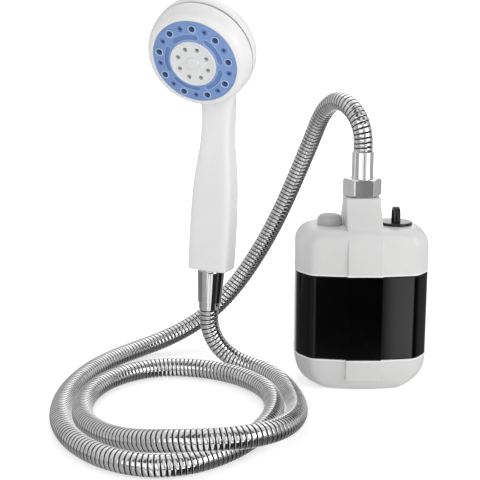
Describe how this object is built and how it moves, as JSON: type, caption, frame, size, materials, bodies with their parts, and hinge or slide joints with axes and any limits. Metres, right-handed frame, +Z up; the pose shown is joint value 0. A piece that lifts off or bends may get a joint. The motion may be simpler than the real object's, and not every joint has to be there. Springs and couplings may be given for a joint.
{
  "type": "camp shower pump",
  "caption": "Rechargeable camp shower set: upright pump with a power button and a charging plug, ribbed steel hose and hand shower with a turning spray face.",
  "frame": {"origin": "centre of the pump's flat base, on the ground", "axes": "+Z up along the pump's outlet; the pump's front panel faces -Y; the hand shower stands on the -X side"},
  "size_m": [0.2539, 0.2578, 0.2659],
  "materials": {
    "white_plastic": "smooth white moulded plastic, satin gloss",
    "black_plastic": "glossy black plastic",
    "button_rubber": "matt grey soft-touch rubber",
    "black_rubber": "matt black rubber",
    "hose_steel": "polished stainless steel hose, interlocked ribs",
    "nut_chrome": "bright chrome plating",
    "spray_blue": "periwinkle blue plastic",
    "nozzle_blue": "soft blue nozzles",
    "grey_plastic": "grey inner plastic",
    "motor_steel": "plain steel",
    "cell_wrap": "blue shrink wrap",
    "board_green": "green solder mask"
  },
  "bodies": {
    "set": {"upper_shell": "white_plastic", "lower_shell": "white_plastic", "grip_band": "black_plastic", "intake_strainer": "black_plastic", "chassis_plate": "grey_plastic", "chassis_screws": "motor_steel", "pump_chamber": "grey_plastic", "motor": "motor_steel", "shaft_seal": "black_rubber", "riser_tube": "white_plastic", "battery_cells": "cell_wrap", "control_board": "board_green", "power_switch": "black_plastic", "charge_socket": "black_plastic", "hose_washer": "black_rubber", "hose_ferrule": "nut_chrome", "hose_arch": "hose_steel", "hose_coil": "hose_steel", "hose_riser": "hose_steel", "hand_ferrule": "nut_chrome", "hand_washer": "black_rubber", "hand_body": "white_plastic", "head_seal": "black_rubber", "face_spindle": "motor_steel", "diverter_plate": "grey_plastic"},
    "rotor": {"motor_shaft": "motor_steel", "impeller": "black_plastic"},
    "button": {"power_button": "button_rubber"},
    "plug": {"charge_plug": "black_rubber"},
    "pump_nut": {"hose_nut": "nut_chrome"},
    "shower_nut": {"hand_nut": "nut_chrome"},
    "spray_face": {"head_bezel": "white_plastic", "spray_ring": "spray_blue", "ring_nozzles": "nozzle_blue", "middle_disc": "white_plastic", "middle_cap": "white_plastic"}
  },
  "joints": [
    {"name": "rotor_spin", "type": "hinge", "parent": "set", "child": "rotor", "pos_m": [-0.0205, 0, 0.02], "axis": [0, 0, 1], "continuous": true},
    {"name": "button_press", "type": "slide", "parent": "set", "child": "button", "axis": [0, 0, -1], "range_m": [0, 0.0015], "stiffness_N_per_m": 800, "springref_m": -0.0004},
    {"name": "plug_pull", "type": "slide", "parent": "set", "child": "plug", "axis": [0, 0, 1], "range_m": [0, 0.014]},
    {"name": "pump_nut_turn", "type": "hinge", "parent": "set", "child": "pump_nut", "pos_m": [0, 0, 0.139], "axis": [0, 0, 1], "continuous": true},
    {"name": "shower_nut_turn", "type": "hinge", "parent": "set", "child": "shower_nut", "pos_m": [-0.1065, 0.006, 0.05], "axis": [0.0571, 0, 0.9984], "continuous": true},
    {"name": "spray_turn", "type": "hinge", "parent": "set", "child": "spray_face", "pos_m": [-0.11386, -0.03282, 0.22483], "axis": [0.3283, 0.8297, 0.4515], "range_deg": [0, 90]}
  ]
}
